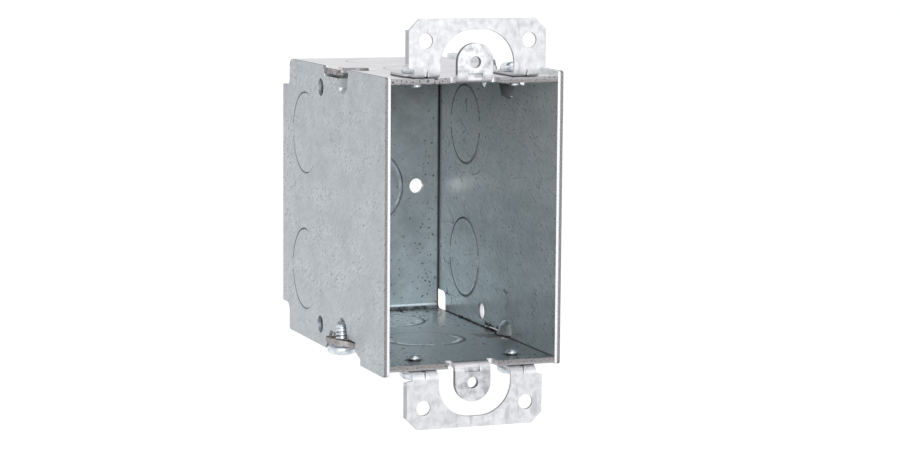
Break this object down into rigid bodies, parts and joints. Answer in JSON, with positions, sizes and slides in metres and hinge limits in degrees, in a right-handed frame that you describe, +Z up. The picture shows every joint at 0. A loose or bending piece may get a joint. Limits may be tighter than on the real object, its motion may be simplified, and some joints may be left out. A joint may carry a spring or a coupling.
{
  "type": "switch box",
  "caption": "Gangable sheet steel switch box with screw-held side plates, pry-out knock-outs, device tabs and sliding plaster ears.",
  "frame": {"origin": "midway between the two device screw holes, on the plane of the box's front edges", "axes": "+Y into the box, -Y out of its open front, +Z up, +X to the right seen from the front"},
  "size_m": [0.0576, 0.0904, 0.1058],
  "materials": {
    "galvanised_sheet": "galvanised",
    "ear_sheet": "galvanised, brighter",
    "zinc_screw": "zinc plated"
  },
  "bodies": {
    "box": {"box_body": "galvanised_sheet", "left_side_plate": "galvanised_sheet", "right_side_plate": "galvanised_sheet", "left_gang_screw": "zinc_screw", "right_gang_screw": "zinc_screw", "upper_left_ear_screw": "zinc_screw", "upper_right_ear_screw": "zinc_screw", "lower_left_ear_screw": "zinc_screw", "lower_right_ear_screw": "zinc_screw"},
    "upper_ear": {"upper_plaster_ear": "ear_sheet"},
    "lower_ear": {"lower_plaster_ear": "ear_sheet"}
  },
  "joints": [
    {"name": "upper_ear_slide", "type": "slide", "parent": "box", "child": "upper_ear", "axis": [0, -1, 0], "range_m": [-0.0015, 0.004]},
    {"name": "lower_ear_slide", "type": "slide", "parent": "box", "child": "lower_ear", "axis": [0, -1, 0], "range_m": [-0.0015, 0.004]}
  ]
}
